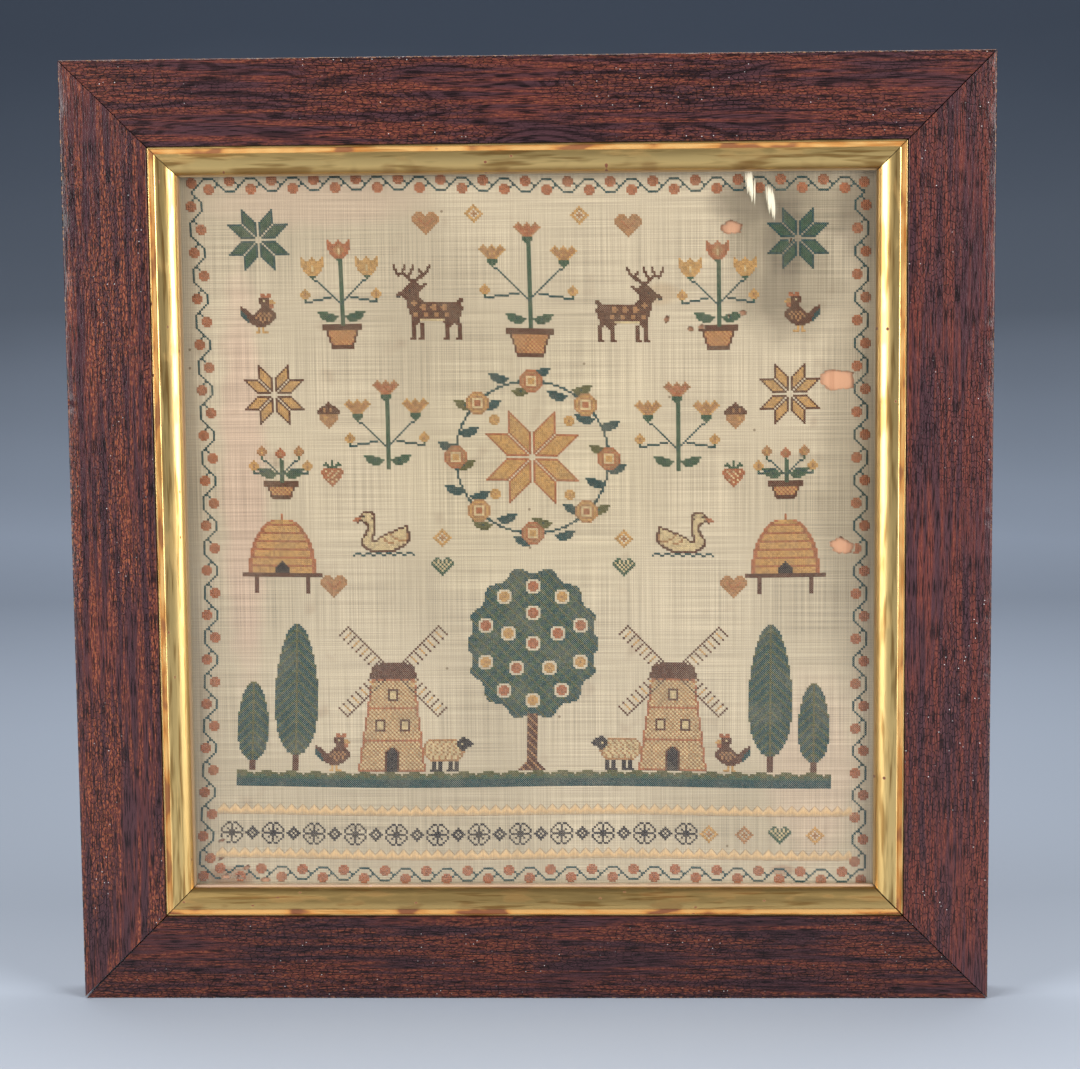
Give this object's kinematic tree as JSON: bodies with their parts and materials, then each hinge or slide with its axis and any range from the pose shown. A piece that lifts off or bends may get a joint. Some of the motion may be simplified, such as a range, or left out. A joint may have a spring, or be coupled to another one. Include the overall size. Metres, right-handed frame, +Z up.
{
  "type": "framed cross stitch sampler",
  "caption": "Square cross stitch sampler on linen with a few moth holes, behind glass in a mitred dark oak frame with a gilt slip, standing on its bottom rail.",
  "frame": {"origin": "middle of the bottom rail's footprint, on the surface the frame stands on", "axes": "+Z up the frame, -Y out of its front towards the viewer, +X to the viewer's right"},
  "size_m": [0.433, 0.024, 0.446],
  "materials": {
    "oak": "dark red-brown stain and varnish over open grain",
    "gilt": "worn gilding over a wooden slip",
    "glass": "clear picture glass, a little dusty",
    "linen": "aged unbleached linen with cross stitch in faded wools and silks",
    "pine": "bare old pine board"
  },
  "bodies": {
    "root": {"oak_rail_top": "oak", "oak_rail_bottom": "oak", "oak_stile_left": "oak", "oak_stile_right": "oak", "gilt_slip_top": "gilt", "gilt_slip_bottom": "gilt", "gilt_slip_left": "gilt", "gilt_slip_right": "gilt", "glass": "glass", "sampler_cloth": "linen", "backboard": "pine"}
  },
  "joints": []
}
